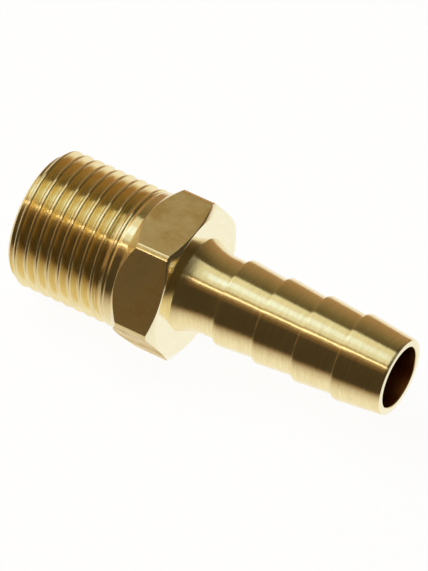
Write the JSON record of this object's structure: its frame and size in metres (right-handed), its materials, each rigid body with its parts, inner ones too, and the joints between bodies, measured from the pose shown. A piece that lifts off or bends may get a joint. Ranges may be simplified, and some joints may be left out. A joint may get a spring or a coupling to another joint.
{
  "type": "hose barb tail",
  "caption": "Straight brass hose tail: male parallel pipe thread, spanner hexagon and ringed barbs that grip a pushed-on hose, with one bore right through.",
  "frame": {"origin": "centre of the threaded end's face, on the axis of the bore", "axes": "+X along the bore axis from the threaded end to the barbed tip, +Z normal to the upper flat of the hexagon; the part lies on the lower flat"},
  "size_m": [0.0594, 0.0249, 0.022],
  "materials": {
    "turned_brass": "bright machined brass with fine turning marks, drawn bar surface on the hexagon's flats"
  },
  "bodies": {
    "root": {"hose_tail": "turned_brass"}
  },
  "joints": []
}
